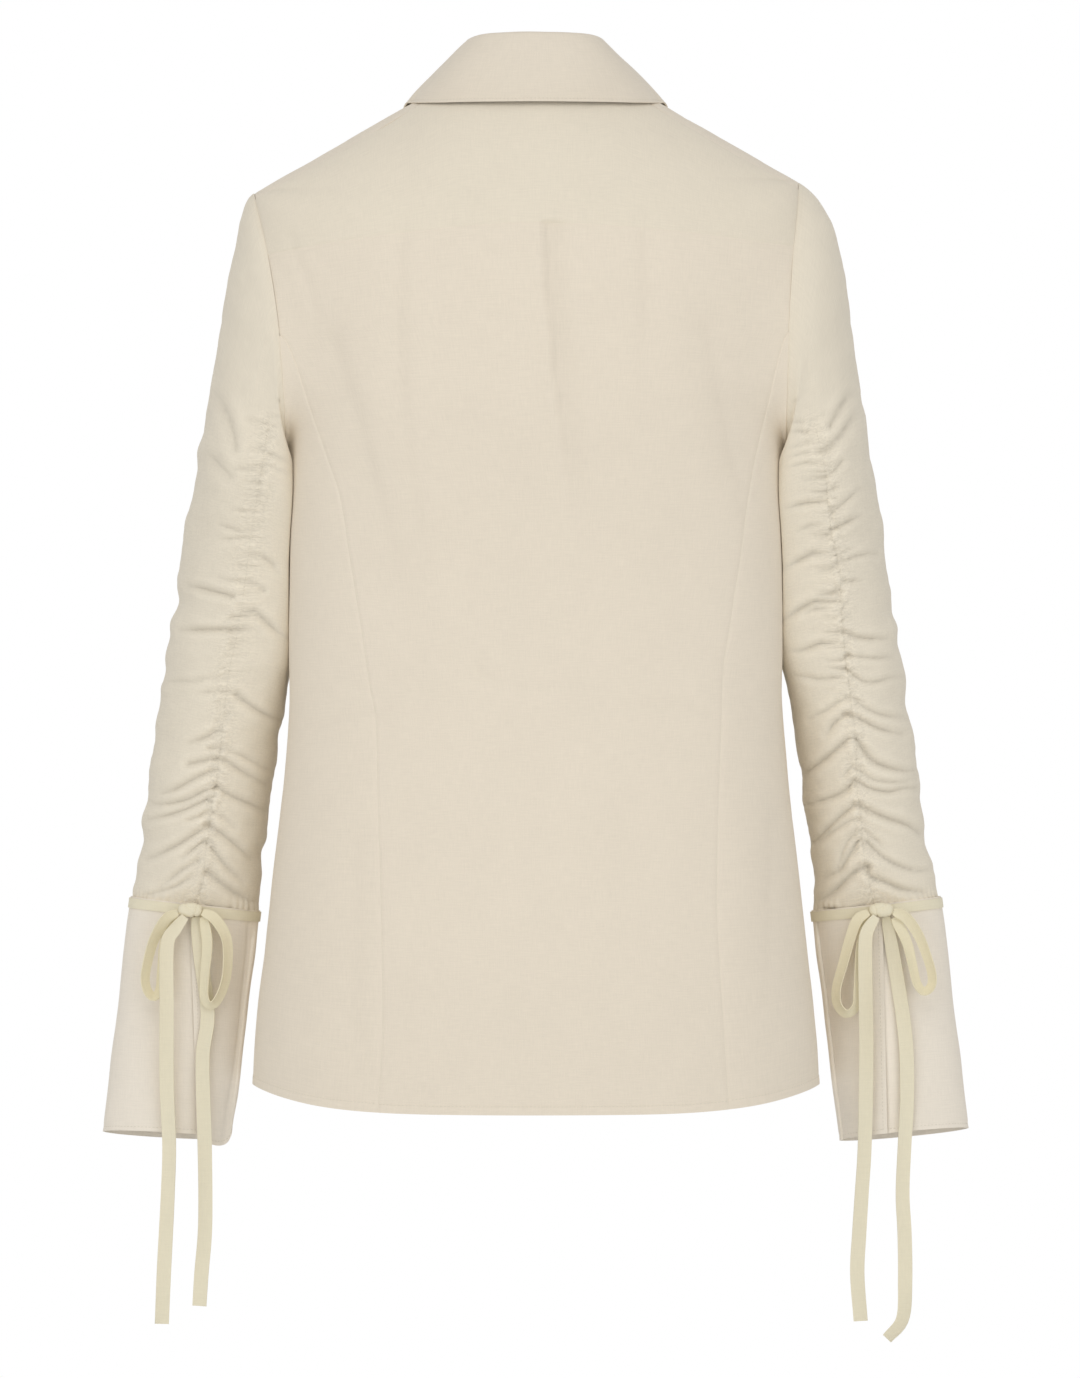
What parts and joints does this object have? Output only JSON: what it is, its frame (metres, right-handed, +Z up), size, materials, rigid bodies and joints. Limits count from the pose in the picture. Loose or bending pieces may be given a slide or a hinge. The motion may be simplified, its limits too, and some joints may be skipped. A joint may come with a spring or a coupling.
{
  "type": "cotton blouse",
  "caption": "Long-sleeved cotton blouse with a folded collar, a back yoke, sleeves gathered on a line down the back and deep cuffs tied with bows.",
  "frame": {"origin": "middle of the neck, level with the neck seam at the centre back, between the front and back of the collar", "axes": "+Z up along the body, +Y towards the wearer's back, +X towards the wearer's left"},
  "size_m": [0.6104, 0.2468, 0.9157],
  "materials": {
    "cotton": "matt, thin plain weave",
    "tie_ribbon": "matt woven tape",
    "button": "satin"
  },
  "bodies": {
    "root": {"back_centre": "cotton", "yoke": "cotton", "collar_stand": "cotton", "collar_fall": "cotton", "button_band": "cotton", "side_back_left": "cotton", "side_back_right": "cotton", "front_left": "cotton", "front_right": "cotton", "sleeve_left": "cotton", "sleeve_right": "cotton", "cuff_left": "cotton", "cuff_right": "cotton", "tie_band_left": "tie_ribbon", "tie_knot_left": "tie_ribbon", "tie_band_right": "tie_ribbon", "tie_knot_right": "tie_ribbon", "tie_loop_left_outer": "tie_ribbon", "tie_loop_left_inner": "tie_ribbon", "tie_loop_right_outer": "tie_ribbon", "tie_loop_right_inner": "tie_ribbon", "tie_tail_left_outer": "tie_ribbon", "tie_tail_left_inner": "tie_ribbon", "tie_tail_right_outer": "tie_ribbon", "tie_tail_right_inner": "tie_ribbon", "button_1": "button", "button_2": "button", "button_3": "button", "button_4": "button", "button_5": "button", "button_6": "button", "button_7": "button"}
  },
  "joints": []
}
